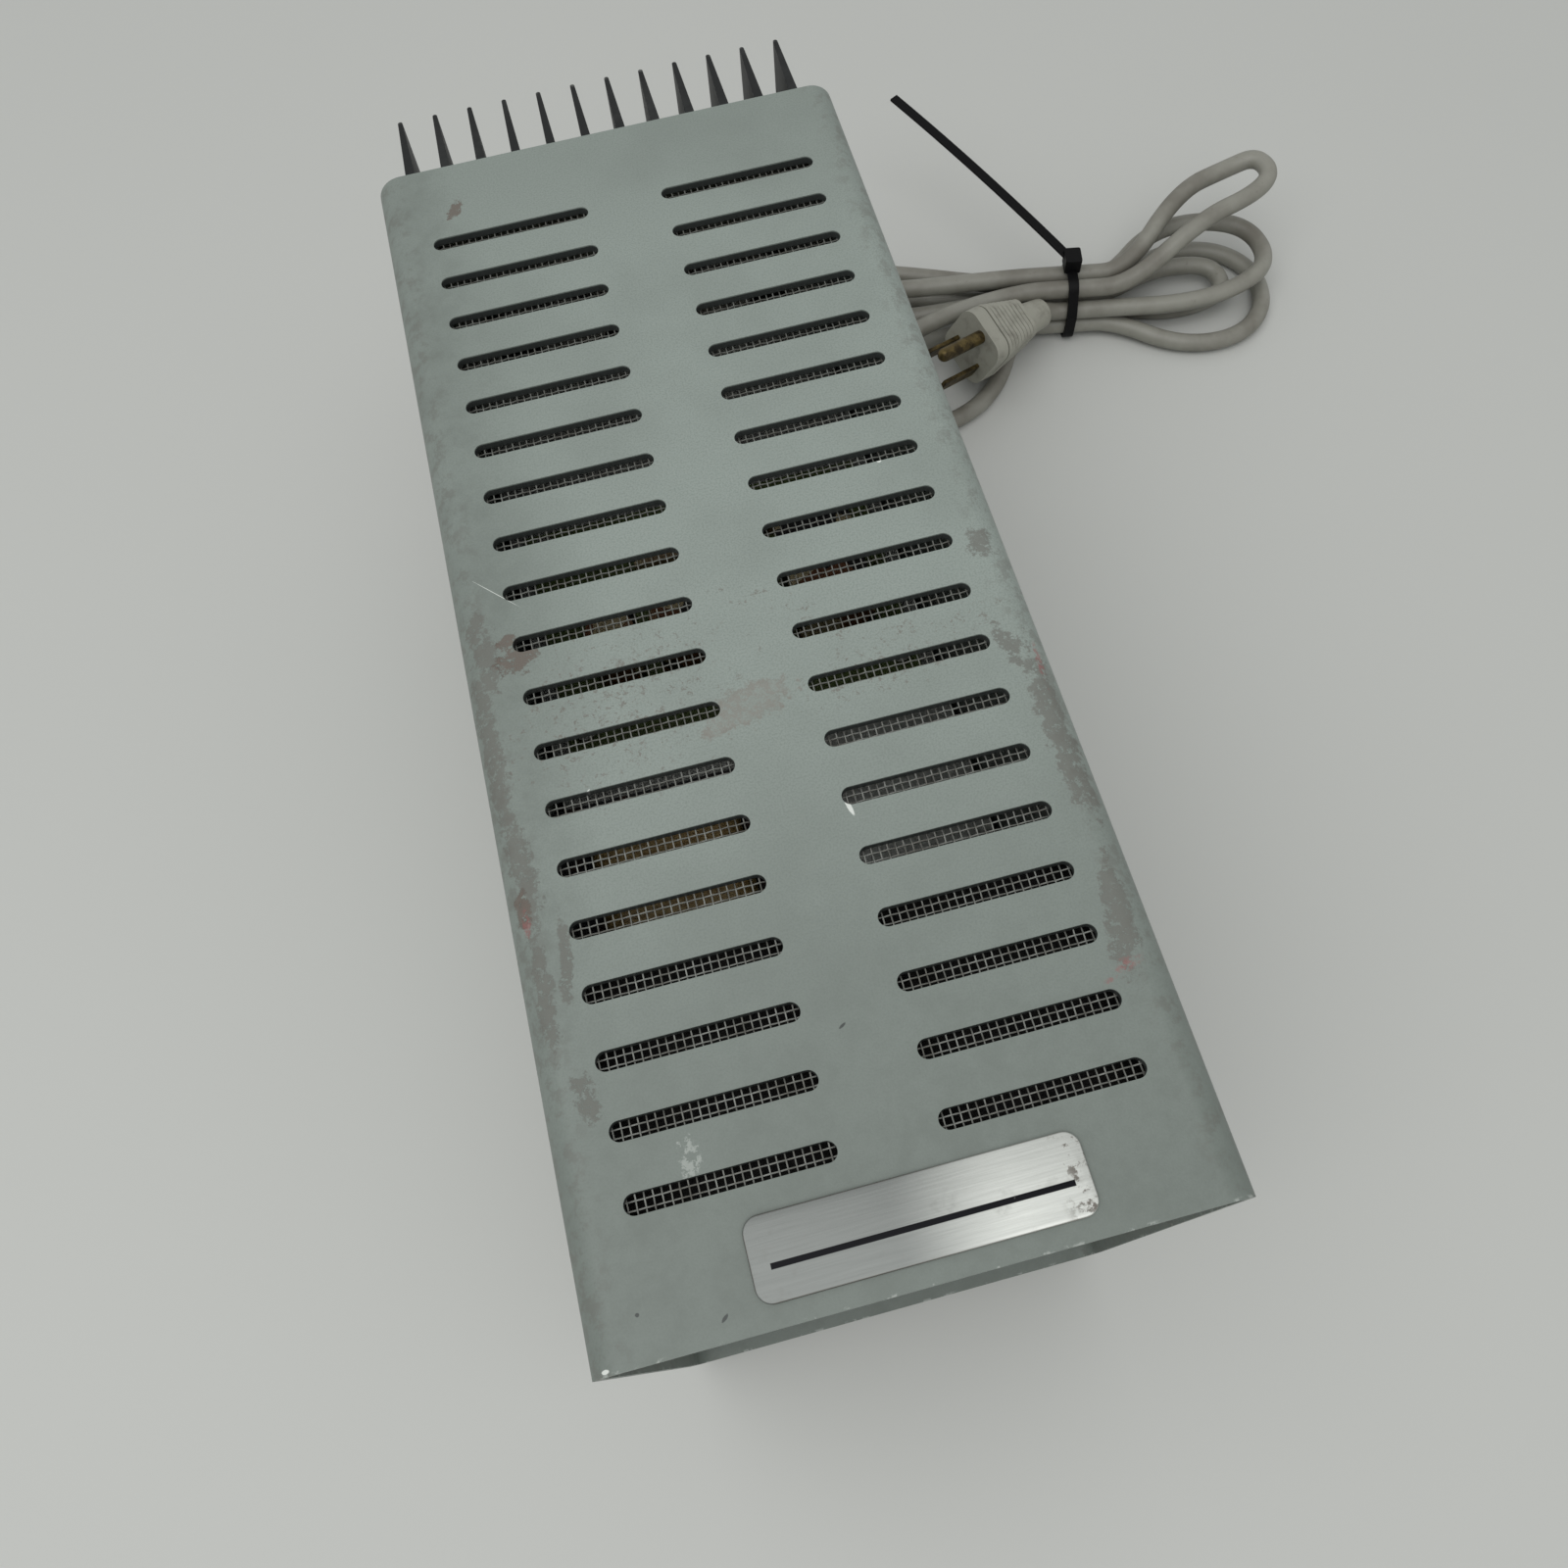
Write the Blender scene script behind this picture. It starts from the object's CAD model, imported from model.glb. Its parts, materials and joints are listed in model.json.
"""Looks of the bench block heater: worn paint, woven wire screen, plate, fins and the tied mains lead."""

import json
import math

import bpy
from bpy.props import FloatProperty, FloatVectorProperty, PointerProperty
from mathutils import Matrix, Vector

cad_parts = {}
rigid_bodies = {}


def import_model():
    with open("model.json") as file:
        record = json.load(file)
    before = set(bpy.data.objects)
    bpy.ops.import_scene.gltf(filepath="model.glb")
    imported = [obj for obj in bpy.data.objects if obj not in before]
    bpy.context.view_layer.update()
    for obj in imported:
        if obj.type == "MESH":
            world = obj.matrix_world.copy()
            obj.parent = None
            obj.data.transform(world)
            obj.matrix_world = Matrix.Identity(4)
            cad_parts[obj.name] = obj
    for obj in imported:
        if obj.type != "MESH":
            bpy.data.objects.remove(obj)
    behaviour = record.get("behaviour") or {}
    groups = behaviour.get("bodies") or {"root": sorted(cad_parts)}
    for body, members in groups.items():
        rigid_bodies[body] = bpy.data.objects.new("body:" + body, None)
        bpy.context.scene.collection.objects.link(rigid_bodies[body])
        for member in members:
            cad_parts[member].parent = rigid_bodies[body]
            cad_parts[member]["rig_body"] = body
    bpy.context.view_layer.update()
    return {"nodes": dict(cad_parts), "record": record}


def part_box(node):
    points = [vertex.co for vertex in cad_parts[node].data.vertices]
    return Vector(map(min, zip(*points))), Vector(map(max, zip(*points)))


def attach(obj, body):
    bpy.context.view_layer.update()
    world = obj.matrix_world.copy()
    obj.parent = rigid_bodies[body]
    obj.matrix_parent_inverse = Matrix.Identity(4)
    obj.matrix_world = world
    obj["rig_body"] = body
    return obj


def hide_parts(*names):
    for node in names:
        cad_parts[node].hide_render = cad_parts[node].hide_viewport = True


bl_info = {
    "name": "Bench Block Heater",
    "version": (1, 0, 0),
    "blender": (4, 5, 0),
    "location": "View3D > Sidebar > Heater",
    "description": "Dresses the packed block heater with its finishes, wire screen and mains lead",
    "category": "Object",
}

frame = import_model()
case_low, case_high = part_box("case_sleeve")
half_width = (case_high.x - case_low.x) / 2
slot_of = {part["node"]: part["material_slot"] for part in frame["record"]["subparts"]}
MM = 0.001
UP = Vector((0, 0, 1))


def from_front(across, behind, height):
    """Point in metres, from millimetres across, behind the case's front edge and above the floor."""
    return Vector((across * MM, case_low.y + behind * MM, height * MM))


def shade(red, green, blue):
    """Linear colour of an 8-bit screen colour."""
    parts = []
    for part in (red, green, blue):
        share = part / 255
        parts.append(share / 12.92 if share <= 0.04045 else ((share + 0.055) / 1.055) ** 2.4)
    return tuple(parts)


def tint(name, description, red, green, blue):
    """Colour property with its default given as an 8-bit screen colour."""
    return FloatVectorProperty(name=name, description=description, subtype="COLOR", size=3, min=0.0,
                               max=1.0, default=shade(red, green, blue))


def size(name, description, default):
    """Length property in metres."""
    return FloatProperty(name=name, description=description, default=default, unit="LENGTH", precision=5)


class HeaterFinishes(bpy.types.PropertyGroup):
    """Colours of the heater's surfaces."""

    paint: tint("Paint", "Grey-green paint of the case", 141, 150, 144)
    paint_speck: tint("Paint Speck", "Fine darker grain of the paint", 128, 137, 131)
    paint_deep: tint("Aged Paint", "Paint where dirt has settled in its texture", 104, 111, 105)
    grime: tint("Grime", "Grey-brown dirt along the bends", 100, 99, 93)
    scuff: tint("Scuff", "Brown scuffs and glue marks", 98, 88, 80)
    smear: tint("Smear", "Greyish smear across the middle", 128, 125, 118)
    red_rub: tint("Red Rub", "Red paint rubbed off another thing", 138, 86, 84)
    scratch: tint("Scratch", "Pale scratches and chips", 208, 212, 206)
    wire: tint("Wire", "Dull zinc of the screen's wires", 126, 128, 123)
    plate: tint("Plate", "Satin aluminium of the name plate", 200, 202, 197)
    plate_dull: tint("Dull Plate", "Weathered part of the name plate", 108, 111, 109)
    rule: tint("Rule", "Printed line on the name plate", 12, 12, 17)
    anodised: tint("Anodised", "Black coat of the heat sink", 24, 26, 26)
    vinyl: tint("Vinyl", "Grey-beige jacket of the lead", 138, 137, 128)
    vinyl_aged: tint("Aged Vinyl", "Browner parts of the lead's jacket", 110, 107, 98)
    plug: tint("Plug", "Moulding of the plug", 150, 149, 138)
    nylon: tint("Nylon", "Cable tie", 11, 11, 12)


class HeaterSizes(bpy.types.PropertyGroup):
    """Sizes of the pieces that are modelled here."""

    screen_pitch: size("Screen Pitch", "Distance between the screen's wires", 1.5875 * MM)
    screen_wire: size("Screen Wire", "Thickness of the screen's wires", 0.25 * MM)
    cord_diameter: size("Cord Diameter", "Thickness of the mains lead", 6.5 * MM)
    cord_length: size("Cord Length", "Length of the mains lead from the case to the plug", 1.51)
    plate_corner: size("Plate Corner", "Corner radius of the name plate", 3.0 * MM)
    plate_edge: size("Plate Edge", "Rounding of the name plate's upper edge", 0.25 * MM)


class HeaterStage(bpy.types.PropertyGroup):
    """Camera, floor and light."""

    camera_place: FloatVectorProperty(name="Camera Place", description="Where the camera stands",
                                      subtype="TRANSLATION", unit="LENGTH", precision=5,
                                      default=(-0.015379, -0.157568, 0.397185))
    camera_turn: FloatVectorProperty(name="Camera Turn", description="How the camera is turned",
                                     subtype="EULER", precision=5,
                                     default=(math.radians(23.2523), math.radians(2.6438),
                                              math.radians(-14.4058)))
    lens: FloatProperty(name="Lens", description="Focal length on a 36 mm wide sensor, in millimetres",
                        default=29.80833)
    floor: tint("Floor", "Plain pale table top", 192, 193, 189)
    sky: FloatProperty(name="Sky", description="Strength of the even light from all sides", default=0.55)
    lamp: FloatProperty(name="Lamp", description="Power of the wide lamp overhead", default=13.0,
                        unit="POWER")


class Signal:
    """A node's output with arithmetic on it: each operator adds a Math node."""

    def __init__(self, finish, socket):
        self.finish = finish
        self.socket = socket

    def math(self, operation, first, second):
        return self.finish.node("ShaderNodeMath", {"operation": operation}, {0: first, 1: second})

    def __add__(self, other):
        return self.math("ADD", self, other)

    def __radd__(self, other):
        return self.math("ADD", other, self)

    def __sub__(self, other):
        return self.math("SUBTRACT", self, other)

    def __rsub__(self, other):
        return self.math("SUBTRACT", other, self)

    def __mul__(self, other):
        return self.math("MULTIPLY", self, other)

    def __rmul__(self, other):
        return self.math("MULTIPLY", other, self)

    def __abs__(self):
        return self.math("ABSOLUTE", self, 0.0)

    def either(self, other):
        """The larger of two values."""
        return self.math("MAXIMUM", self, other)


class Finish:
    """A material in the making: its surface shader and the method that adds nodes."""

    def __init__(self, name):
        self.material = bpy.data.materials.new(name)
        self.material.use_nodes = True
        self.tree = self.material.node_tree
        self.surface = self.tree.nodes["Principled BSDF"]
        self.at = self.node("ShaderNodeTexCoord", output="Object")

    def node(self, kind, settings=None, sockets=None, output=0):
        """Add a node, its settings first and then its sockets' values or links, and return one output."""
        made = self.tree.nodes.new(kind)
        for name, setting in (settings or {}).items():
            setattr(made, name, setting)
        self.feed(made, sockets or {})
        return Signal(self, made.outputs[output])

    def feed(self, node, sockets):
        """Link or set a node's sockets."""
        for name, given in sockets.items():
            if isinstance(given, Signal):
                self.tree.links.new(given.socket, node.inputs[name])
            else:
                node.inputs[name].default_value = given

    def look(self, **sockets):
        """Set the surface shader's sockets, named with underscores for spaces."""
        self.feed(self.surface, {name.replace("_", " "): given for name, given in sockets.items()})
        return self.material

    def axes(self):
        """The place's three coordinates."""
        split = self.node("ShaderNodeSeparateXYZ", None, {0: self.at}, "X")
        outputs = split.socket.node.outputs
        return [Signal(self, outputs[name]) for name in ("X", "Y", "Z")]

    def stretched(self, x, y, z):
        """Coordinates scaled by axis, for streaks."""
        return self.node("ShaderNodeMapping", None, {"Vector": self.at, "Scale": (x, y, z)})

    def noise(self, scale, detail=2.0, rough=0.5, at=None, output="Fac"):
        """Noise of a given number of lumps to the metre."""
        sockets = {"Vector": at or self.at, "Scale": scale, "Detail": detail, "Roughness": rough}
        return self.node("ShaderNodeTexNoise", None, sockets, output)

    def between(self, value, low, high):
        """0 at low and 1 at high, eased between them and flat beyond."""
        sockets = {"Value": value, "From Min": low, "From Max": high}
        return self.node("ShaderNodeMapRange", {"interpolation_type": "SMOOTHSTEP"}, sockets)

    def mix(self, share, one, other):
        """A colour between two colours."""
        given = [colour if isinstance(colour, Signal) else (*colour[:3], 1.0) for colour in (one, other)]
        return self.node("ShaderNodeMix", {"data_type": "RGBA"}, {0: share, 6: given[0], 7: given[1]}, 2)

    def bump(self, height, depth, strength=1.0):
        """Normal of a surface raised by up to a depth in metres."""
        return self.node("ShaderNodeBump", None, {"Height": height, "Distance": depth, "Strength": strength})

    def patch(self, centre, wide, long, turn=0.0, ragged=0.8, soft=0.5):
        """Mask of an oval patch with ragged edges; sizes in millimetres and the turn in degrees."""
        half = Vector((wide / 2, long / 2, 12.0)) * MM
        place = {"Vector": self.at, "Location": centre, "Rotation": (0, 0, math.radians(turn)), "Scale": half}
        inside = self.node("ShaderNodeMapping", {"vector_type": "TEXTURE"}, place)
        away = self.node("ShaderNodeVectorMath", {"operation": "LENGTH"}, {0: inside}, "Value")
        tear = self.noise(320, 6.0, 0.72) - 0.5
        return self.between(away + tear * (2 * ragged), 1.0, 1.0 - soft)


def patches(finish, places, ragged, soft):
    """One mask of several patches on the case's top: across, behind the front edge, wide, long and turn."""
    top = case_high.z / MM
    mask = None
    for across, behind, wide, long, turn in places:
        patch = finish.patch(from_front(across, behind, top), wide, long, turn, ragged, soft)
        mask = patch if mask is None else mask.either(patch)
    return mask


# Wear on the top of the case: across, behind the front edge, wide and long in millimetres, turn in degrees
GRIME_PATCHES = [
    (-53.5, 140.0, 6.0, 22.0, 3.0),
    (-55.5, 116.0, 5.0, 44.0, 0.0),
    (-54.0, 92.0, 5.5, 26.0, 4.0),
    (-54.0, 66.0, 4.0, 28.0, 0.0),
    (-50.0, 45.0, 5.0, 10.0, 10.0),
    (-49.0, 70.0, 3.0, 18.0, -6.0),
    (54.0, 92.0, 6.0, 44.0, 0.0),
    (52.0, 52.0, 6.0, 26.0, -8.0),
    (55.5, 79.0, 3.0, 12.0, 0.0),
    (52.8, 136.7, 7.0, 8.0, 0.0),
    (50.5, 112.0, 4.0, 12.0, 14.0),
]
SCUFF_PATCHES = [
    (-47.0, 136.5, 9.0, 7.0, 15.0),
    (-40.2, 264.8, 3.5, 8.0, -25.0),
    (-48.0, 141.0, 5.0, 3.0, 10.0),
    (-55.0, 84.0, 3.0, 8.0, 0.0),
]
SMEAR_PATCHES = [
    (-3.5, 113.5, 22.0, 9.0, 13.0),
    (-10.0, 111.0, 10.0, 5.0, 22.0),
]
FLAKE_PATCHES = [
    (12.5, 131.0, 9.0, 7.0, 35.0),
    (9.0, 135.0, 8.0, 5.0, 20.0),
    (-2.7, 141.4, 6.0, 3.0, 14.0),
    (6.0, 138.5, 22.0, 2.5, 14.0),
    (18.0, 124.0, 5.0, 4.0, 20.0),
    (-28.0, 120.0, 52.0, 40.0, 12.0),
    (28.0, 116.0, 52.0, 16.0, 12.0),
]
RED_PATCHES = [
    (55.5, 108.0, 1.6, 11.0, -4.0),
    (50.2, 43.3, 9.0, 3.0, 20.0),
    (46.0, 41.5, 3.0, 2.0, 0.0),
    (-54.8, 80.0, 1.6, 6.0, 0.0),
]
SCRATCH_PATCHES = [
    (10.0, 87.0, 1.0, 5.4, 12.0),
    (38.0, 163.2, 1.3, 1.1, 0.0),
    (-12.7, 64.7, 1.0, 0.9, 0.0),
    (-55.5, 0.8, 1.6, 0.9, 0.0),
    (-38.8, 103.1, 2.6, 0.4, 40.0),
    (-24.6, 89.6, 2.2, 0.4, -36.0),
    (-48.4, 152.9, 14.0, 0.14, -46.0),
]
PALE_PATCHES = [
    (-34.4, 30.8, 3.6, 9.0, -6.0),
]
DARK_PATCHES = [
    (-34.3, 3.9, 1.8, 0.7, 40.0),
    (-2.6, 46.0, 1.8, 0.6, 30.0),
    (-48.5, 8.0, 0.8, 0.8, 0.0),
]


def case_paint(colours):
    """Fine-grained grey-green paint with torn grime along the bends, smears, scuffs and chips on the top."""
    finish = Finish("case_paint")
    x, y, z = finish.axes()
    speck = finish.noise(2400, 2.0, 0.6)
    cloud = finish.noise(26, 4.0, 0.6)
    flake = finish.noise(700, 5.0, 0.75)
    colour = finish.mix(finish.between(speck, 0.30, 0.62), colours.paint_speck, colours.paint)
    colour = finish.mix(finish.between(cloud, 0.35, 0.75) * 0.3, colour, colours.paint_deep)
    front = finish.between(y, case_low.y + 135 * MM, case_low.y + 10 * MM)
    upper = finish.between(z, case_high.z - 14 * MM, case_high.z - 3 * MM)
    left = finish.between(x, -25 * MM, -55 * MM) * upper
    rear = finish.between(y, case_high.y - 60 * MM, case_high.y)
    dirt = finish.between(finish.noise(130, 6.0, 0.75), 0.35, 0.70)
    shaded = front * (0.75 + dirt * 0.2) + rear * 0.3
    colour = finish.mix(shaded.either(left * (0.5 + dirt * 0.3)), colour, colours.paint_deep)
    bend = finish.between(abs(x), half_width - 10 * MM, half_width - 3 * MM)
    rubbed = finish.between(finish.noise(260, 6.0, 0.75), 0.50, 0.60) * bend
    colour = finish.mix(rubbed * 0.4, colour, colours.grime)
    crumbs = patches(finish, FLAKE_PATCHES, 1.6, 0.5) * finish.between(flake, 0.56, 0.60)
    colour = finish.mix(crumbs * 0.55, colour, colours.scuff)
    grime = patches(finish, GRIME_PATCHES, 1.5, 0.3) * finish.between(flake, 0.40, 0.47)
    colour = finish.mix(grime * 0.7, colour, colours.grime)
    smear = patches(finish, SMEAR_PATCHES, 1.0, 0.2)
    colour = finish.mix(smear * (0.2 + finish.between(flake, 0.45, 0.55) * 0.5), colour, colours.smear)
    rim = finish.between(abs(patches(finish, SMEAR_PATCHES, 1.0, 0.5) - 0.35), 0.25, 0.05)
    colour = finish.mix(rim * 0.15, colour, colours.scuff)
    scuff = patches(finish, SCUFF_PATCHES, 1.6, 0.3) * finish.between(flake, 0.36, 0.46)
    colour = finish.mix(scuff * 0.85, colour, colours.scuff)
    pale = patches(finish, PALE_PATCHES, 1.6, 0.3) * finish.between(flake, 0.46, 0.52)
    colour = finish.mix(pale * 0.28, colour, colours.scratch)
    red = patches(finish, RED_PATCHES, 1.4, 0.5) * finish.between(flake, 0.40, 0.55)
    colour = finish.mix(red * 0.6, colour, colours.red_rub)
    dark = patches(finish, DARK_PATCHES, 0.7, 0.3)
    colour = finish.mix(dark * 0.7, colour, colours.rule)
    chip = patches(finish, SCRATCH_PATCHES, 0.5, 0.3)
    edge = finish.between(y, case_low.y + 0.7 * MM, case_low.y + 0.2 * MM)
    chip = chip.either(edge * finish.between(finish.noise(350, 4.0, 0.6), 0.55, 0.62) * 0.3)
    colour = finish.mix(chip, colour, colours.scratch)
    inner = finish.between(abs(x), half_width - 6 * MM, half_width - 8 * MM)
    below = finish.between(z, case_high.z - 0.15 * MM, case_high.z - 0.5 * MM)
    level = finish.between(z, case_high.z - 3.0 * MM, case_high.z - 2.5 * MM)
    past_front = finish.between(y, case_low.y + 6 * MM, case_low.y + 8 * MM)
    colour = finish.mix(inner * below * level * past_front * 0.85, colour, colours.rule)
    rough = 0.44 + speck * 0.12 + smear * 0.15 + grime * 0.15
    normal = finish.bump(speck * 0.6 + cloud + grime * 0.6 + scuff, 0.05 * MM)
    return finish.look(Base_Color=colour, Roughness=rough, Normal=normal, Specular_IOR_Level=0.45)


def dull_wire(colours):
    """Zinc-grey wire with dust."""
    finish = Finish("screen_wire")
    dust = finish.noise(240, 3.0, 0.6)
    colour = finish.mix(finish.between(dust, 0.35, 0.7), colours.wire, colours.grime)
    return finish.look(Base_Color=colour, Roughness=0.42 + dust * 0.25, Metallic=0.55)


def plate_metal(colours):
    """Satin plate with lengthwise brushing, one printed rule and stains at its right end."""
    finish = Finish("plate_metal")
    x, y = finish.axes()[:2]
    brush = finish.noise(60, 4.0, 0.7, finish.stretched(1.0, 40.0, 40.0))
    blotch = finish.noise(160, 4.0, 0.65)
    low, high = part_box("name_plate")
    inset = 0.35 * MM
    colour = finish.mix(finish.between(brush, 0.3, 0.7) * 0.2, colours.plate, colours.wire)
    dulled = finish.between(x, high.x - 12 * MM, low.x + 24 * MM)
    colour = finish.mix(dulled * 0.9, colour, colours.plate_dull)
    colour = finish.mix(finish.between(blotch, 0.55, 0.72) * 0.25, colour, colours.grime)
    right = finish.between(x, high.x - 7 * MM, high.x - 2 * MM)
    stain = right * finish.between(finish.noise(420, 4.0, 0.7), 0.52, 0.62)
    colour = finish.mix(stain * 0.75, colour, colours.scuff)
    line = from_front(1.75, 9.7, 0.0)
    half_long, half_tall, blur = 26.75 * MM, 0.52 * MM, 0.06 * MM
    along = finish.between(abs(x - line.x), half_long + blur, half_long - blur)
    across = finish.between(abs(y - line.y), half_tall + blur, half_tall - blur)
    worn = finish.between(blotch, 0.74, 0.64)
    colour = finish.mix(along * across * worn, colour, colours.rule)
    middle = (low + high) / 2
    reach_x = finish.between(abs(x - middle.x), (high.x - low.x) / 2 - inset, (high.x - low.x) / 2)
    reach_y = finish.between(abs(y - middle.y), (high.y - low.y) / 2 - inset, (high.y - low.y) / 2)
    colour = finish.mix(reach_x.either(reach_y) * 0.45, colour, colours.scuff)
    ink = along * across
    rough = 0.34 + brush * 0.18 + stain * 0.3
    return finish.look(Base_Color=colour, Roughness=rough, Metallic=0.75 - ink * 0.75,
                       Specular_IOR_Level=0.1, Normal=finish.bump(brush, 0.02 * MM))


def bare_aluminium(colours):
    """Mill-finish aluminium with rolling streaks and dull spots."""
    finish = Finish("bare_aluminium")
    streak = finish.noise(70, 4.0, 0.65, finish.stretched(12.0, 1.0, 12.0))
    spot = finish.noise(90, 4.0, 0.6)
    colour = finish.mix(streak * 0.5, colours.plate, colours.wire)
    colour = finish.mix(finish.between(spot, 0.55, 0.75) * 0.4, colour, colours.grime)
    return finish.look(Base_Color=colour, Roughness=0.36 + streak * 0.2 + spot * 0.1, Metallic=0.9,
                       Normal=finish.bump(streak, 0.02 * MM))


def panel_paint(colours):
    """Darker speckled paint of the front panel."""
    finish = Finish("panel_paint")
    speck = finish.noise(1300, 3.0, 0.7)
    cloud = finish.noise(40, 3.0, 0.5)
    colour = finish.mix(finish.between(speck, 0.35, 0.65), shade(88, 96, 91), shade(104, 112, 107))
    colour = finish.mix(finish.between(cloud, 0.5, 0.8) * 0.3, colour, colours.grime)
    return finish.look(Base_Color=colour, Roughness=0.5 + speck * 0.15, Normal=finish.bump(speck, 0.05 * MM))


def black_anodised(colours):
    """Black anodised aluminium, dusty, with the drawing lines along the fins and rubbed tips."""
    finish = Finish("black_anodised")
    y = finish.axes()[1]
    drawn = finish.noise(90, 3.0, 0.6, finish.stretched(14.0, 14.0, 1.0))
    dust = finish.noise(55, 5.0, 0.65)
    colour = finish.mix(finish.between(dust, 0.45, 0.8) * 0.35, colours.anodised, shade(78, 80, 78))
    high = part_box("heat_sink")[1]
    tip = finish.between(y, high.y - 1.2 * MM, high.y - 0.2 * MM)
    worn = tip * finish.between(finish.noise(380, 4.0, 0.6), 0.5, 0.65)
    colour = finish.mix(worn * 0.6, colour, colours.wire)
    return finish.look(Base_Color=colour, Roughness=0.4 + drawn * 0.2 + dust * 0.1,
                       Metallic=0.35, Normal=finish.bump(drawn, 0.03 * MM))


def black_rubber(colours):
    """Matt rubber with a bloom of dust."""
    finish = Finish("black_rubber")
    bloom = finish.noise(180, 4.0, 0.6)
    colour = finish.mix(finish.between(bloom, 0.4, 0.8), shade(26, 26, 26), shade(56, 55, 53))
    return finish.look(Base_Color=colour, Roughness=0.78 + bloom * 0.15, Normal=finish.bump(bloom, 0.08 * MM))


def screw_steel(colours):
    """Plated steel with tarnish."""
    finish = Finish("screw_steel")
    tarnish = finish.noise(500, 4.0, 0.65)
    colour = finish.mix(finish.between(tarnish, 0.45, 0.75), shade(190, 189, 184), shade(128, 122, 112))
    return finish.look(Base_Color=colour, Roughness=0.28 + tarnish * 0.3, Metallic=0.95,
                       Normal=finish.bump(tarnish, 0.02 * MM))


def mica(colours):
    """Amber flaky sheet."""
    finish = Finish("mica")
    flake = finish.noise(260, 5.0, 0.7)
    colour = finish.mix(finish.between(flake, 0.4, 0.65), shade(206, 196, 168), shade(176, 158, 120))
    return finish.look(Base_Color=colour, Roughness=0.2 + flake * 0.25, Coat_Weight=0.3)


def phenolic(colours):
    """Brown pressed board with paper fibres."""
    finish = Finish("phenolic")
    fibre = finish.noise(120, 5.0, 0.7, finish.stretched(1.0, 6.0, 6.0))
    colour = finish.mix(finish.between(fibre, 0.35, 0.7), shade(74, 48, 34), shade(104, 72, 50))
    return finish.look(Base_Color=colour, Roughness=0.42 + fibre * 0.2, Normal=finish.bump(fibre, 0.03 * MM))


def insulation_board(colours):
    """Dark mineral fibre mat."""
    finish = Finish("insulation_board")
    fibre = finish.noise(420, 6.0, 0.75, finish.stretched(1.0, 1.0, 4.0))
    colour = finish.mix(finish.between(fibre, 0.35, 0.7), shade(18, 18, 17), shade(40, 38, 36))
    return finish.look(Base_Color=colour, Roughness=0.9 + fibre * 0.1, Normal=finish.bump(fibre, 0.4 * MM))


def plated_nut(colours):
    """Bright nickel plate with faint stains."""
    finish = Finish("plated_nut")
    stain = finish.noise(420, 4.0, 0.6)
    colour = finish.mix(finish.between(stain, 0.5, 0.8), shade(214, 212, 206), shade(160, 154, 142))
    return finish.look(Base_Color=colour, Roughness=0.14 + stain * 0.22, Metallic=1.0)


def black_plastic(colours):
    """Moulded black plastic, finely textured, with rubbed lighter areas."""
    finish = Finish("black_plastic")
    grain = finish.noise(2200, 2.0, 0.5)
    rub = finish.noise(120, 4.0, 0.6)
    colour = finish.mix(finish.between(rub, 0.5, 0.8), shade(24, 24, 25), shade(48, 47, 46))
    return finish.look(Base_Color=colour, Roughness=0.36 + grain * 0.12 + rub * 0.1,
                       Normal=finish.bump(grain, 0.02 * MM))


def red_lens(colours):
    """Deep red glossy lens with inner facets."""
    finish = Finish("red_lens")
    facet = finish.node("ShaderNodeTexVoronoi", None, {"Vector": finish.at, "Scale": 900.0}, "Distance")
    colour = finish.mix(finish.between(facet, 0.1, 0.7), shade(196, 34, 26), shade(120, 12, 12))
    return finish.look(Base_Color=colour, Roughness=0.12 + facet * 0.08, Coat_Weight=0.6, IOR=1.49)


def fuse_glass(colours):
    """Glass tube with plated end caps."""
    finish = Finish("fuse_glass")
    y = finish.axes()[1]
    low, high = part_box("fuse")
    cap = 6.0 * MM
    ends = finish.between(y, low.y + cap, low.y + cap - 0.1 * MM).either(
        finish.between(y, high.y - cap, high.y - cap + 0.1 * MM))
    haze = finish.noise(200, 3.0, 0.5)
    colour = finish.mix(ends, shade(206, 214, 210), shade(198, 196, 190))
    return finish.look(Base_Color=colour, Metallic=ends, Roughness=0.08 + haze * 0.12, Coat_Weight=0.3)


def core_iron(colours):
    """Stack of dark iron sheets, seen as fine lines along its sides."""
    finish = Finish("core_iron")
    z = finish.axes()[2]
    sheet = 0.7 * MM
    lines = finish.node("ShaderNodeMath", {"operation": "PINGPONG"}, {0: z, 1: sheet / 2})
    gap = finish.between(lines, 0.0, 0.08 * MM)
    rust = finish.noise(160, 5.0, 0.65)
    colour = finish.mix(finish.between(rust, 0.5, 0.75), shade(66, 66, 68), shade(96, 74, 60))
    colour = finish.mix(gap, shade(24, 24, 25), colour)
    return finish.look(Base_Color=colour, Roughness=0.55 + rust * 0.25, Metallic=0.6,
                       Normal=finish.bump(gap, 0.1 * MM))


def coil_paper(colours):
    """Varnished paper round the windings."""
    finish = Finish("coil_paper")
    ripple = finish.noise(240, 4.0, 0.6, finish.stretched(1.0, 5.0, 1.0))
    colour = finish.mix(finish.between(ripple, 0.35, 0.7), shade(182, 158, 106), shade(146, 118, 70))
    return finish.look(Base_Color=colour, Roughness=0.5 + ripple * 0.2, Coat_Weight=0.2,
                       Normal=finish.bump(ripple, 0.15 * MM))


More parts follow.
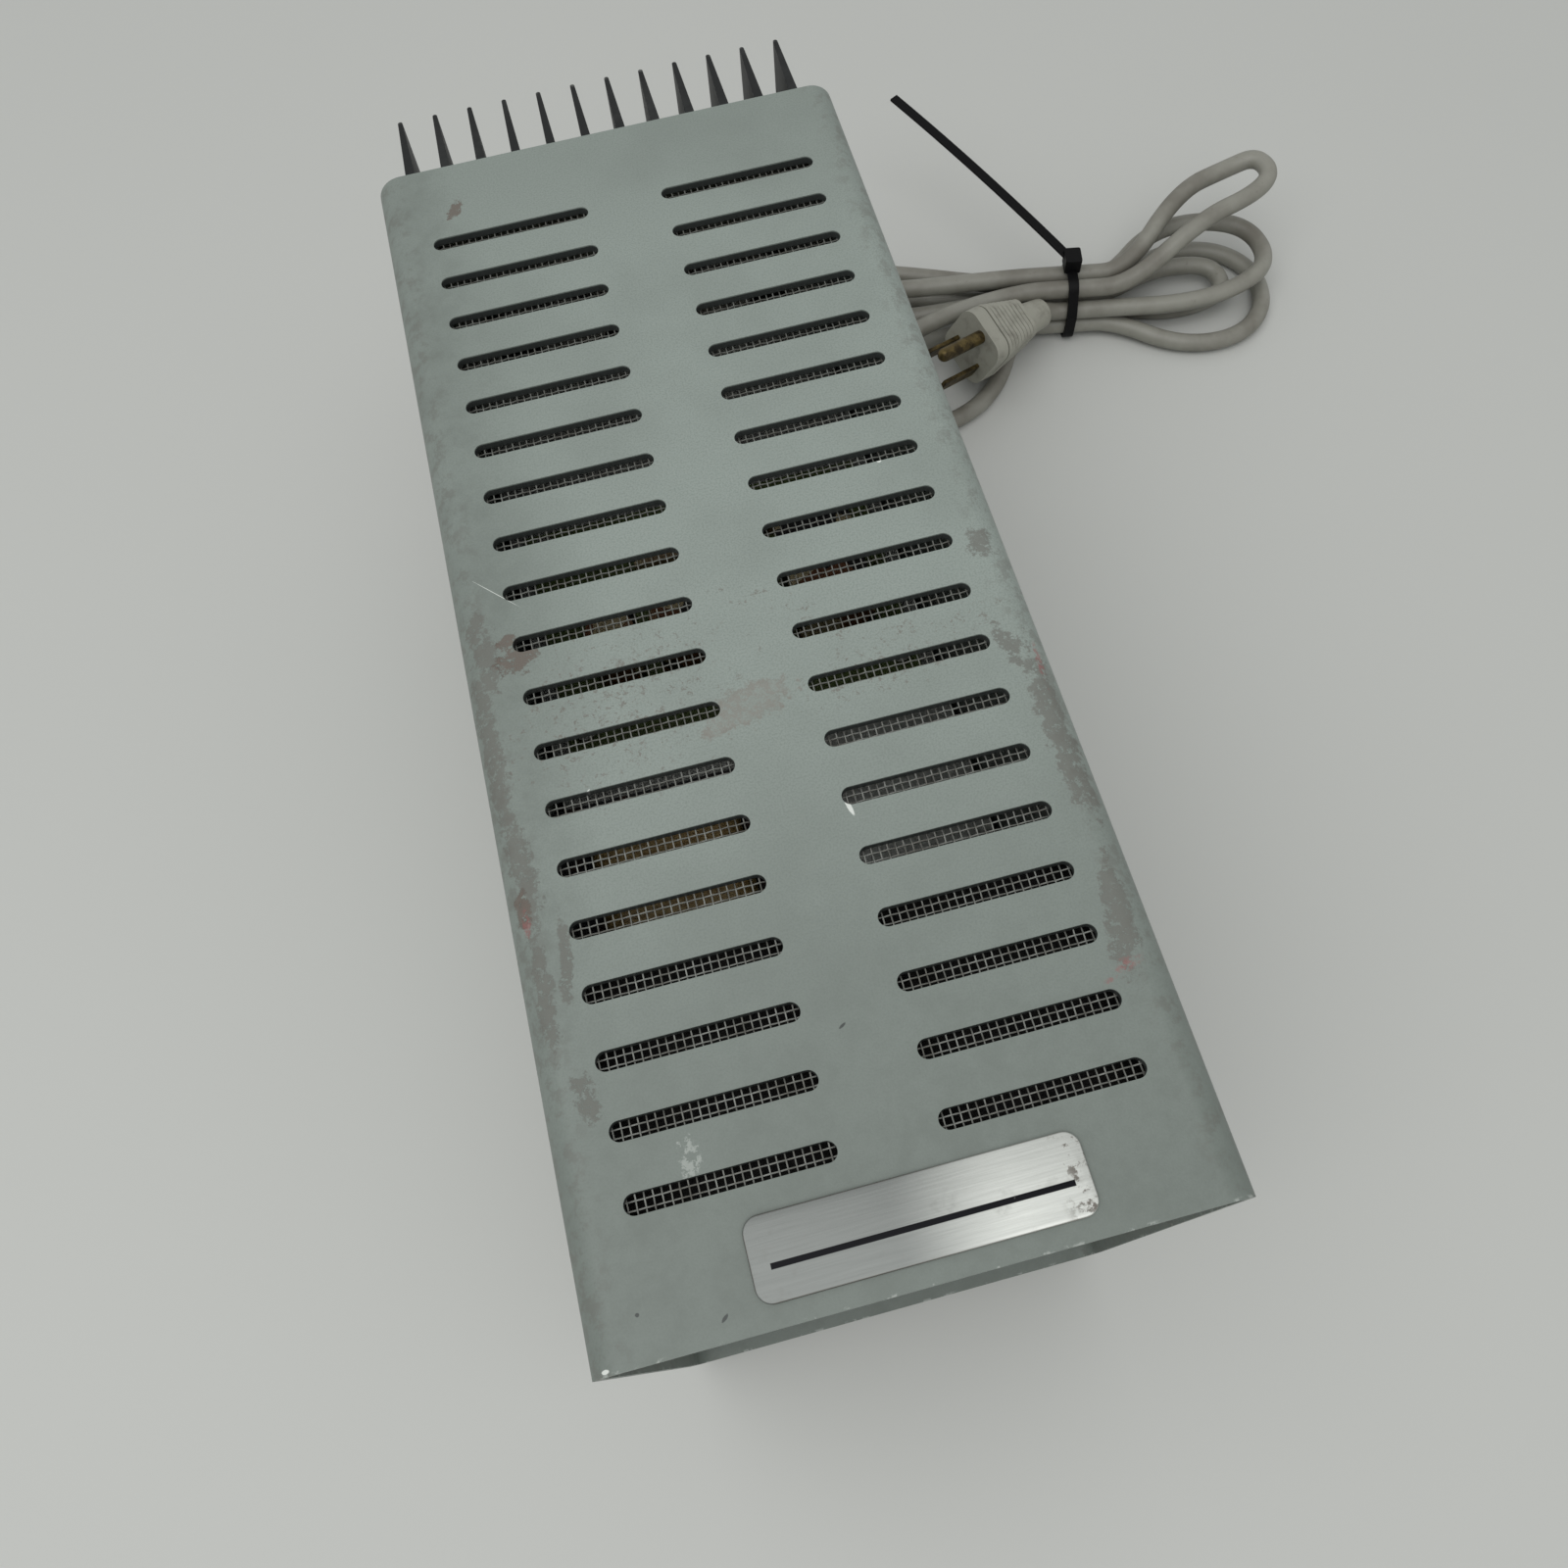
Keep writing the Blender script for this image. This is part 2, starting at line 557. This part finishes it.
def capacitor_sleeve(colours):
    """Shrunk blue plastic sleeve with a pale stripe."""
    finish = Finish("capacitor_sleeve")
    z = finish.axes()[2]
    low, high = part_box("filter_capacitor")
    middle = (low + high) / 2
    stripe = finish.between(abs(z - middle.z), 2.2 * MM, 1.9 * MM)
    crease = finish.noise(140, 4.0, 0.6)
    colour = finish.mix(finish.between(crease, 0.4, 0.75), shade(46, 64, 116), shade(34, 48, 90))
    colour = finish.mix(stripe * 0.8, colour, shade(176, 182, 190))
    return finish.look(Base_Color=colour, Roughness=0.26 + crease * 0.2, Coat_Weight=0.25,
                       Normal=finish.bump(crease, 0.08 * MM))


def board_laminate(colours):
    """Olive-green laminate with the glass weave showing."""
    finish = Finish("board_laminate")
    weave = finish.node("ShaderNodeTexBrick", {"offset": 0.5}, {
        "Vector": finish.at, "Scale": 700.0,
        "Color1": (*shade(98, 114, 60), 1), "Color2": (*shade(88, 104, 54), 1),
        "Mortar": (*shade(74, 90, 44), 1)}, "Color")
    dust = finish.noise(90, 4.0, 0.6)
    colour = finish.mix(finish.between(dust, 0.5, 0.8) * 0.5, weave, colours.grime)
    return finish.look(Base_Color=colour, Roughness=0.4 + dust * 0.25)


def component_mix(colours):
    """Painted and moulded components in brown, black and cream."""
    finish = Finish("component_mix")
    cell = finish.node("ShaderNodeTexVoronoi", None, {"Vector": finish.at, "Scale": 110.0}, "Color")
    kind = finish.node("ShaderNodeSeparateXYZ", None, {0: cell}, "X")
    grain = finish.noise(900, 3.0, 0.6)
    colour = finish.mix(finish.between(kind, 0.35, 0.4), shade(34, 33, 33), shade(118, 74, 44))
    colour = finish.mix(finish.between(kind, 0.7, 0.75), colour, shade(190, 176, 138))
    return finish.look(Base_Color=colour, Roughness=0.4 + grain * 0.2, Normal=finish.bump(grain, 0.04 * MM))


def standoff_brass(colours):
    """Turned brass with fine rings."""
    finish = Finish("standoff_brass")
    ring = finish.noise(200, 3.0, 0.6, finish.stretched(1.0, 1.0, 14.0))
    colour = finish.mix(ring, shade(190, 158, 92), shade(150, 118, 64))
    return finish.look(Base_Color=colour, Roughness=0.25 + ring * 0.2, Metallic=1.0,
                       Normal=finish.bump(ring, 0.02 * MM))


def blade_brass(colours):
    """Tarnished brass of the plug's blades and pin."""
    finish = Finish("blade_brass")
    tarnish = finish.noise(260, 5.0, 0.65)
    colour = finish.mix(finish.between(tarnish, 0.35, 0.65), shade(112, 97, 62), shade(58, 50, 36))
    return finish.look(Base_Color=colour, Roughness=0.3 + tarnish * 0.3, Metallic=0.9,
                       Normal=finish.bump(tarnish, 0.02 * MM))


def cord_vinyl(colours):
    """Satin vinyl jacket, unevenly browned, with small dirt marks."""
    finish = Finish("cord_vinyl")
    age = finish.noise(38, 4.0, 0.6)
    dirt = finish.noise(420, 5.0, 0.7)
    colour = finish.mix(finish.between(age, 0.35, 0.7), colours.vinyl, colours.vinyl_aged)
    colour = finish.mix(finish.between(dirt, 0.60, 0.75) * 0.5, colour, colours.scuff)
    return finish.look(Base_Color=colour, Roughness=0.42 + age * 0.12, Normal=finish.bump(dirt, 0.04 * MM),
                       Coat_Weight=0.05)


def plug_vinyl(colours):
    """Moulded vinyl of the plug, with dirt rubbed into it."""
    finish = Finish("plug_vinyl")
    dirt = finish.noise(170, 5.0, 0.65)
    grain = finish.noise(1500, 2.0, 0.5)
    colour = finish.mix(finish.between(dirt, 0.45, 0.75) * 0.7, colours.plug, colours.vinyl_aged)
    return finish.look(Base_Color=colour, Roughness=0.5 + grain * 0.15, Normal=finish.bump(grain, 0.03 * MM))


def tie_nylon(colours):
    """Satin black nylon, finely grained."""
    finish = Finish("tie_nylon")
    grain = finish.noise(900, 3.0, 0.6)
    colour = finish.mix(finish.between(grain, 0.4, 0.8), colours.nylon, shade(16, 16, 17))
    return finish.look(Base_Color=colour, Roughness=0.45 + grain * 0.10, Specular_IOR_Level=0.12,
                       Normal=finish.bump(grain, 0.03 * MM))


MAKERS = {
    "case_paint": case_paint, "wire_cloth": dull_wire, "bare_aluminium": bare_aluminium,
    "panel_paint": panel_paint, "black_anodised": black_anodised, "black_rubber": black_rubber,
    "screw_steel": screw_steel, "mica": mica, "phenolic": phenolic, "insulation_board": insulation_board,
    "plated_nut": plated_nut, "black_plastic": black_plastic, "red_lens": red_lens, "fuse_glass": fuse_glass,
    "core_iron": core_iron, "coil_paper": coil_paper, "capacitor_sleeve": capacitor_sleeve,
    "board_laminate": board_laminate, "component_mix": component_mix, "standoff_brass": standoff_brass,
    "cord_vinyl": cord_vinyl, "blade_brass": blade_brass,
}
made_finishes = {}

# How the copies of the nodes' meshes are merged, smoothed and eased
MERGE_DISTANCE = 0.002 * MM
SMOOTH_BELOW = math.radians(35)
BEVEL_ABOVE = math.radians(40)
FLAT_FACES_FIRST = 90


def finish_for(maker):
    """The material of a maker function, made once."""
    if maker.__name__ not in made_finishes:
        made_finishes[maker.__name__] = maker(bpy.context.scene.heater_finishes)
    return made_finishes[maker.__name__]


def coat(piece, material):
    """Give a piece one material."""
    piece.data.materials.clear()
    piece.data.materials.append(material)


def pick(piece):
    """Make a piece the only selected object, and the active one."""
    bpy.ops.object.select_all(action="DESELECT")
    piece.select_set(True)
    bpy.context.view_layer.objects.active = piece


def stands_for(piece, *nodes):
    """A piece that takes the place, the body and the material slot of CAD nodes."""
    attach(piece, frame["nodes"][nodes[0]]["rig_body"])
    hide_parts(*nodes)


def apply_all(piece):
    """Apply a piece's modifiers in order."""
    pick(piece)
    for modifier in list(piece.modifiers):
        bpy.ops.object.modifier_apply(modifier=modifier.name)


def smoothed(node, maker=None, edge=0.0):
    """Merged copy of a node's mesh, its round faces smooth and its edges eased where a width is given."""
    mesh = frame["nodes"][node].data.copy()
    piece = bpy.data.objects.new(node + "_smooth", mesh)
    bpy.context.scene.collection.objects.link(piece)
    pick(piece)
    bpy.ops.mesh.customdata_custom_splitnormals_clear()
    bpy.ops.object.mode_set(mode="EDIT")
    bpy.ops.mesh.select_all(action="SELECT")
    bpy.ops.mesh.remove_doubles(threshold=MERGE_DISTANCE)
    bpy.ops.object.mode_set(mode="OBJECT")
    bpy.ops.object.shade_smooth_by_angle(angle=SMOOTH_BELOW)
    if edge:
        bevel = piece.modifiers.new("edge", "BEVEL")
        bevel.width = edge
        bevel.segments = 2
        bevel.angle_limit = BEVEL_ABOVE
        bevel.harden_normals = False
    flat = piece.modifiers.new("flat", "WEIGHTED_NORMAL")
    flat.keep_sharp = True
    flat.weight = FLAT_FACES_FIRST
    apply_all(piece)
    coat(piece, finish_for(maker or MAKERS[slot_of[node]]))
    stands_for(piece, node)
    return piece


def dress(*nodes):
    """Give CAD nodes the material of their slot."""
    for node in nodes:
        coat(frame["nodes"][node], finish_for(MAKERS[slot_of[node]]))


def edit(operator, **options):
    """Run one edit-mode operator on the active mesh."""
    bpy.ops.object.mode_set(mode="EDIT")
    operator(**options)
    bpy.ops.object.mode_set(mode="OBJECT")


def choose_edges(piece, test):
    """Select the edges of a mesh whose two ends pass a test."""
    bpy.ops.object.mode_set(mode="EDIT")
    bpy.ops.mesh.select_mode(type="EDGE")
    bpy.ops.mesh.select_all(action="DESELECT")
    bpy.ops.object.mode_set(mode="OBJECT")
    for edge in piece.data.edges:
        edge.select = test([piece.data.vertices[index].co for index in edge.vertices])


class HEATER_OT_paint_case(bpy.types.Operator):
    """Paint and age the folded case"""

    bl_idname = "heater.paint_case"
    bl_label = "Paint Case"

    def execute(self, context):
        smoothed("case_sleeve")
        return {"FINISHED"}


def crimped_wire(name, start, step, side, count, lift, thickness):
    """One wire from crossing to crossing, rising over and under by turns; four-sided."""
    bpy.ops.object.select_all(action="DESELECT")
    bpy.ops.mesh.primitive_circle_add(vertices=4, radius=thickness / math.sqrt(2), location=(0, 0, 0))
    wire = bpy.context.object
    wire.name = name
    square = Matrix.Rotation(math.pi / 4, 4, "Z")
    stand = Matrix((side, UP, step.normalized())).transposed().to_4x4()
    wire.data.transform(Matrix.Translation(start + UP * lift) @ stand @ square)
    bpy.ops.object.mode_set(mode="EDIT")
    bpy.ops.mesh.select_all(action="SELECT")
    rise = -2 * lift
    for _ in range(count - 1):
        move = {"value": step + UP * rise}
        bpy.ops.mesh.extrude_region_move(TRANSFORM_OT_translate=move)
        rise = -rise
    bpy.ops.object.mode_set(mode="OBJECT")
    return wire


def wire_rows(wire, across, count):
    """Copies of a wire at every second row."""
    rows = wire.modifiers.new("rows", "ARRAY")
    rows.count = count
    rows.use_relative_offset = False
    rows.use_constant_offset = True
    rows.constant_offset_displace = across * 2
    apply_all(wire)


class HEATER_OT_weave_screen(bpy.types.Operator):
    """Weave the wire screen behind the vent slots"""

    bl_idname = "heater.weave_screen"
    bl_label = "Weave Screen"

    def execute(self, context):
        sizes = context.scene.heater_sizes
        low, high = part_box("vent_screen")
        pitch, thickness = sizes.screen_pitch, sizes.screen_wire
        across = int((high.x - low.x - thickness) / pitch)
        along = int((high.y - low.y - thickness) / pitch)
        middle = (low + high) / 2
        first = middle - Vector((across, along, 0)) * (pitch / 2)
        right, rear = Vector((pitch, 0, 0)), Vector((0, pitch, 0))
        wires = []
        for phase in (0, 1):
            lift = thickness / 2 * (1 - 2 * phase)
            cross = crimped_wire("cross_wire", first + rear * phase, right, rear.normalized(), across + 1,
                                 lift, thickness)
            wire_rows(cross, rear, (along + 2 - phase) // 2)
            long = crimped_wire("long_wire", first + right * phase, rear, right.normalized(), along + 1,
                                -lift, thickness)
            wire_rows(long, right, (across + 2 - phase) // 2)
            wires += [cross, long]
        pick(wires[0])
        for wire in wires:
            wire.select_set(True)
        bpy.ops.object.join()
        screen = context.object
        screen.name = "woven_screen"
        edit(bpy.ops.mesh.select_all, action="SELECT")
        edit(bpy.ops.mesh.normals_make_consistent, inside=False)
        coat(screen, finish_for(dull_wire))
        stands_for(screen, "vent_screen")
        return {"FINISHED"}


class HEATER_OT_name_plate(bpy.types.Operator):
    """Make the bare name plate with rounded corners and an eased edge"""

    bl_idname = "heater.name_plate"
    bl_label = "Name Plate"

    def execute(self, context):
        sizes = context.scene.heater_sizes
        low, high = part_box("name_plate")
        bpy.ops.object.select_all(action="DESELECT")
        bpy.ops.mesh.primitive_cube_add(size=1, location=(low + high) / 2, scale=high - low)
        plate = context.object
        plate.name = "bare_plate"
        bpy.ops.object.transform_apply(location=True, rotation=True, scale=True)
        upright = 0.1 * MM
        choose_edges(plate, lambda ends: abs(ends[0].z - ends[1].z) > upright)
        edit(bpy.ops.mesh.bevel, offset=sizes.plate_corner, segments=8, affect="EDGES")
        rim = high.z - 0.01 * MM
        choose_edges(plate, lambda ends: min(end.z for end in ends) > rim)
        edit(bpy.ops.mesh.bevel, offset=sizes.plate_edge, segments=3, affect="EDGES")
        pick(plate)
        bpy.ops.object.shade_smooth_by_angle(angle=BEVEL_ABOVE)
        coat(plate, finish_for(plate_metal))
        stands_for(plate, "name_plate")
        return {"FINISHED"}


class HEATER_OT_heat_sink(bpy.types.Operator):
    """Finish the finned heat sink"""

    bl_idname = "heater.heat_sink"
    bl_label = "Heat Sink"

    def execute(self, context):
        smoothed("heat_sink")
        return {"FINISHED"}


# The lead from the rear panel to the hank: millimetres across, behind the front edge and above the floor
LEAD_POINTS = [
    (38.0, 267.9, 27.0),
    (38.0, 284.0, 27.0),
    (38.0, 300.4, 27.0),
    (48.0, 320.0, 18.0),
    (67.0, 329.0, 8.0),
    (88.0, 328.5, 3.5),
]

# The hank: where the tie holds it, how its strands are stacked there, and its loops
TIE_PLACE = (163.0, 327.0)
TIE_HEADING = -12.0
STRAND_PITCH = 7.1
LOWEST_STRAND = 5.0
HALF_WAIST = 4.0
FLOOR_LINE = 3.5
CORD_WIDTH = 6.5
PARALLEL = 1e-9
PLUG_BACK = (144.0, 317.5, 15.8)
PLUG_HEADING = 205.0
PLUG_PITCH = 13.0
HANK_END = (110.0, 328.5, FLOOR_LINE)
FIRST_STRAND = "mid_front"
STRANDS = {
    "low_front": (-1, 0), "low_middle": (0, 0), "low_rear": (1, 0),
    "mid_front": (-1, 1), "mid_middle": (0, 1), "mid_rear": (1, 1),
    "top_front": (-0.5, 2), "top_rear": (0.5, 2),
}
# Each loop: strand it comes back to, heading, reach, half width, widest place, turning side and heights
LOOPS = [
    ("mid_rear", 0.5, 77.0, 16.5, 0.64, -1, (12.6, 14.0, 17.0)),
    ("top_rear", 161.0, 110.0, 8.0, 0.80, -1, (12.8, 16.0, 20.0)),
    ("top_front", 14.0, 83.0, 8.0, 0.82, 1, (31.0, 34.0, 31.0)),
    ("low_front", 200.0, 94.0, 16.0, 0.66, -1, (18.8, 11.0, FLOOR_LINE)),
    ("low_rear", -7.5, 76.0, 23.0, 0.69, -1, (FLOOR_LINE, FLOOR_LINE, FLOOR_LINE)),
    ("mid_middle", 165.0, 98.0, 8.0, 0.80, -1, (FLOOR_LINE, 6.6, 10.8)),
    ("low_middle", -3.5, 61.0, 8.5, 0.74, 1, (7.8, 6.0, 3.8)),
]


def heading(degrees):
    """Level direction at an angle from +X toward the rear."""
    angle = math.radians(degrees)
    return Vector((math.cos(angle), math.sin(angle), 0))


def strand_place(name):
    """Middle of a strand under the tie."""
    sideways, level = STRANDS[name]
    foot = Vector((*TIE_PLACE, LOWEST_STRAND))
    return foot + (heading(TIE_HEADING + 90) * sideways + UP * level) * STRAND_PITCH


def loop_stations(way, reach, half, widest, side, heights):
    """Places and directions at a loop's outgoing shoulder, its tip and its returning shoulder."""
    out, aside = heading(way), heading(way + 90) * side
    foot = Vector((*TIE_PLACE, 0))
    shoulder = foot + out * (reach * widest)
    return [(shoulder + aside * half + UP * heights[0], out),
            (foot + out * reach + UP * heights[1], -aside),
            (shoulder - aside * half + UP * heights[2], -out)]


def hank_stations():
    """Places and directions along the hank, from the plug to where the free lead begins."""
    rise = math.radians(PLUG_PITCH)
    forward = heading(PLUG_HEADING) * math.cos(rise) + UP * math.sin(rise)
    back, end, left = Vector(PLUG_BACK), Vector(HANK_END), Vector((-1, 0, 0))
    stations = [(back, -forward), (back - forward * CORD_WIDTH, -forward)]
    way, strand = heading(TIE_HEADING), FIRST_STRAND
    for returns_to, *shape in LOOPS:
        centre = strand_place(strand)
        stations += [(centre - way * HALF_WAIST, way), (centre + way * HALF_WAIST, way)]
        stations += loop_stations(*shape)
        way, strand = -way, returns_to
    centre = strand_place(strand)
    stations += [(centre - way * HALF_WAIST, way), (centre + way * HALF_WAIST, way)]
    return stations + [(end - left * CORD_WIDTH, left), (end, left)]


def leg(start, start_way, end, end_way):
    """How far the two tangents of a smooth turn reach from its ends before they meet the middle tangent."""
    gap = end - start
    square = 2 * (1 - start_way.dot(end_way))
    linear = 2 * gap.dot(start_way + end_way)
    if square < PARALLEL:
        return gap.length_squared / linear
    return (math.sqrt(linear ** 2 + 4 * square * gap.length_squared) - linear) / (2 * square)


def hank_points():
    """Control points of the hank, from the plug back to the lead."""
    stations = hank_stations()
    points = [stations[0][0]]
    for (start, start_way), (end, end_way) in zip(stations, stations[1:]):
        reach = leg(start, start_way, end, end_way)
        points += [start + start_way * reach, end - end_way * reach]
    return points + [stations[-1][0]]


class HEATER_OT_lay_cord(bpy.types.Operator):
    """Lay the mains lead on the floor, tied in a hank"""

    bl_idname = "heater.lay_cord"
    bl_label = "Lay Cord"

    def execute(self, context):
        sizes = context.scene.heater_sizes
        points = [from_front(*point) for point in LEAD_POINTS + [tuple(p) for p in reversed(hank_points())]]
        curve = bpy.data.curves.new("mains_lead", "CURVE")
        curve.dimensions = "3D"
        spline = curve.splines.new("NURBS")
        spline.points.add(len(points) - 1)
        for control, point in zip(spline.points, points):
            control.co = (*point, 1.0)
        spline.order_u = 3
        spline.use_endpoint_u = True
        spline.resolution_u = 10
        curve.bevel_depth = sizes.cord_diameter / 2
        curve.bevel_resolution = 6
        curve.use_fill_caps = True
        lead = bpy.data.objects.new("mains_lead", curve)
        context.scene.collection.objects.link(lead)
        coat(lead, finish_for(cord_vinyl))
        stands_for(lead, "power_cord_lead", "power_cord_hank")
        return {"FINISHED"}


class HEATER_OT_plug(bpy.types.Operator):
    """Finish the moulded plug, its blades and its pin"""

    bl_idname = "heater.plug"
    bl_label = "Plug"

    def execute(self, context):
        smoothed("plug_body", plug_vinyl, 0.3 * MM)
        smoothed("plug_blades", edge=0.2 * MM)
        smoothed("plug_ground_pin")
        return {"FINISHED"}


class HEATER_OT_cable_tie(bpy.types.Operator):
    """Finish the cable tie round the hank"""

    bl_idname = "heater.cable_tie"
    bl_label = "Cable Tie"

    def execute(self, context):
        smoothed("cable_tie", tie_nylon, 0.2 * MM)
        return {"FINISHED"}


class HEATER_OT_block(bpy.types.Operator):
    """Finish the heated block, its jacket and its insulation"""

    bl_idname = "heater.block"
    bl_label = "Heated Block"

    def execute(self, context):
        smoothed("block_insert")
        smoothed("insulating_frame")
        dress("heater_jacket", "jacket_screws", "block_insulation", "insulation_rear_pad",
              "cartridge_heaters", "temperature_sensor", "thermal_cutout")
        return {"FINISHED"}


class HEATER_OT_controls(bpy.types.Operator):
    """Finish the front panel, its knob, switch, lamp and dial"""

    bl_idname = "heater.controls"
    bl_label = "Front Controls"

    def execute(self, context):
        for node in ("front_panel", "dial_plate", "control_knob", "pilot_lamp_lens", "pilot_lamp_body",
                     "power_switch_lever", "power_switch_nut", "potentiometer_nut"):
            smoothed(node)
        dress("power_switch_body", "control_potentiometer", "control_shaft", "knob_set_screw")
        return {"FINISHED"}


class HEATER_OT_rear_fittings(bpy.types.Operator):
    """Finish the rear panel, the fuse holder and the cord's bushing"""

    bl_idname = "heater.rear_fittings"
    bl_label = "Rear Fittings"

    def execute(self, context):
        for node in ("rear_panel", "fuse_holder", "fuse_cap", "strain_relief"):
            smoothed(node)
        dress("fuse_holder_nut", "fuse")
        return {"FINISHED"}


class HEATER_OT_fasteners(bpy.types.Operator):
    """Finish the screws"""

    bl_idname = "heater.fasteners"
    bl_label = "Fasteners"

    def execute(self, context):
        for node in ("front_panel_screws", "rear_panel_screws", "foot_screws"):
            smoothed(node)
        dress("shelf_screws", "heat_sink_screws", "transistor_screws", "transformer_screws", "board_screws")
        return {"FINISHED"}


class HEATER_OT_electronics(bpy.types.Operator):
    """Finish the supply, the board and the power transistors inside"""

    bl_idname = "heater.electronics"
    bl_label = "Electronics"

    def execute(self, context):
        dress("power_transistors", "mica_insulators", "transformer_core", "transformer_coil",
              "transformer_spacers", "filter_capacitor", "capacitor_clamp", "bridge_rectifier",
              "circuit_board", "board_components", "board_standoffs")
        return {"FINISHED"}


class HEATER_OT_chassis(bpy.types.Operator):
    """Finish the tray, the shelf and the feet"""

    bl_idname = "heater.chassis"
    bl_label = "Chassis and Feet"

    def execute(self, context):
        smoothed("rubber_feet")
        dress("chassis_tray", "equipment_shelf")
        return {"FINISHED"}


# Stage: lengths in metres, the camera's sensor in millimetres
FLOOR_WIDTH = 6.0
LAMP_SIZE = (1.8, 1.4)
LAMP_PLACE = Vector((-0.3, -0.35, 1.4))
LAMP_AIM = Vector((0.0, 0.05, 0.1))
SKY_COLOUR = (0.98, 1.0, 1.0, 1.0)
SENSOR_WIDTH = 36.0
NEAREST_SEEN = 0.01


class HEATER_OT_stage(bpy.types.Operator):
    """Set up the floor, the light and the camera"""

    bl_idname = "heater.stage"
    bl_label = "Stage"

    def execute(self, context):
        scene, stage = context.scene, context.scene.heater_stage
        bpy.ops.object.select_all(action="DESELECT")
        bpy.ops.mesh.primitive_plane_add(size=FLOOR_WIDTH, location=(0, 0, 0))
        floor = context.object
        floor.name = "floor"
        finish = Finish("table_top")
        cloud = finish.noise(3.0, 3.0, 0.5)
        colour = finish.mix(cloud * 0.06, stage.floor, shade(150, 150, 147))
        coat(floor, finish.look(Base_Color=colour, Roughness=0.6))
        world = bpy.data.worlds.new("soft_room")
        world.use_nodes = True
        sky = world.node_tree.nodes["Background"]
        sky.inputs["Color"].default_value = SKY_COLOUR
        sky.inputs["Strength"].default_value = stage.sky
        scene.world = world
        wide = bpy.data.lights.new("overhead", "AREA")
        wide.shape = "RECTANGLE"
        wide.size, wide.size_y = LAMP_SIZE
        wide.energy = stage.lamp
        overhead = bpy.data.objects.new("overhead", wide)
        overhead.location = LAMP_PLACE
        aim = LAMP_AIM - overhead.location
        overhead.rotation_euler = aim.to_track_quat("-Z", "Y").to_euler()
        scene.collection.objects.link(overhead)
        view = bpy.data.cameras.new("camera")
        view.sensor_width = SENSOR_WIDTH
        view.lens = stage.lens
        view.clip_start = NEAREST_SEEN
        camera = bpy.data.objects.new("camera", view)
        camera.location = stage.camera_place
        camera.rotation_euler = stage.camera_turn
        scene.collection.objects.link(camera)
        scene.camera = camera
        scene.view_settings.view_transform = "Standard"
        return {"FINISHED"}


OPERATORS = (
    HEATER_OT_paint_case, HEATER_OT_weave_screen, HEATER_OT_name_plate, HEATER_OT_heat_sink, HEATER_OT_plug,
    HEATER_OT_cable_tie, HEATER_OT_lay_cord, HEATER_OT_block, HEATER_OT_controls, HEATER_OT_rear_fittings,
    HEATER_OT_fasteners, HEATER_OT_electronics, HEATER_OT_chassis, HEATER_OT_stage,
)


class HEATER_PT_pieces(bpy.types.Panel):
    """Lists the heater's pieces, sizes and colours"""

    bl_idname = "HEATER_PT_pieces"
    bl_label = "Block Heater"
    bl_space_type = "VIEW_3D"
    bl_region_type = "UI"
    bl_category = "Heater"

    def draw(self, context):
        layout = self.layout
        for operator in OPERATORS:
            layout.operator(operator.bl_idname)
        for group in (context.scene.heater_sizes, context.scene.heater_finishes, context.scene.heater_stage):
            box = layout.box()
            for name in group.__annotations__:
                box.prop(group, name)


CLASSES = (HeaterFinishes, HeaterSizes, HeaterStage, *OPERATORS, HEATER_PT_pieces)


def register():
    for cls in CLASSES:
        bpy.utils.register_class(cls)
    bpy.types.Scene.heater_finishes = PointerProperty(type=HeaterFinishes)
    bpy.types.Scene.heater_sizes = PointerProperty(type=HeaterSizes)
    bpy.types.Scene.heater_stage = PointerProperty(type=HeaterStage)


def unregister():
    del bpy.types.Scene.heater_stage
    del bpy.types.Scene.heater_sizes
    del bpy.types.Scene.heater_finishes
    for cls in reversed(CLASSES):
        bpy.utils.unregister_class(cls)


def main():
    """Register the add-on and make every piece."""
    register()
    for operator in OPERATORS:
        group, name = operator.bl_idname.split(".")
        getattr(getattr(bpy.ops, group), name)()


if __name__ == "__main__":
    main()
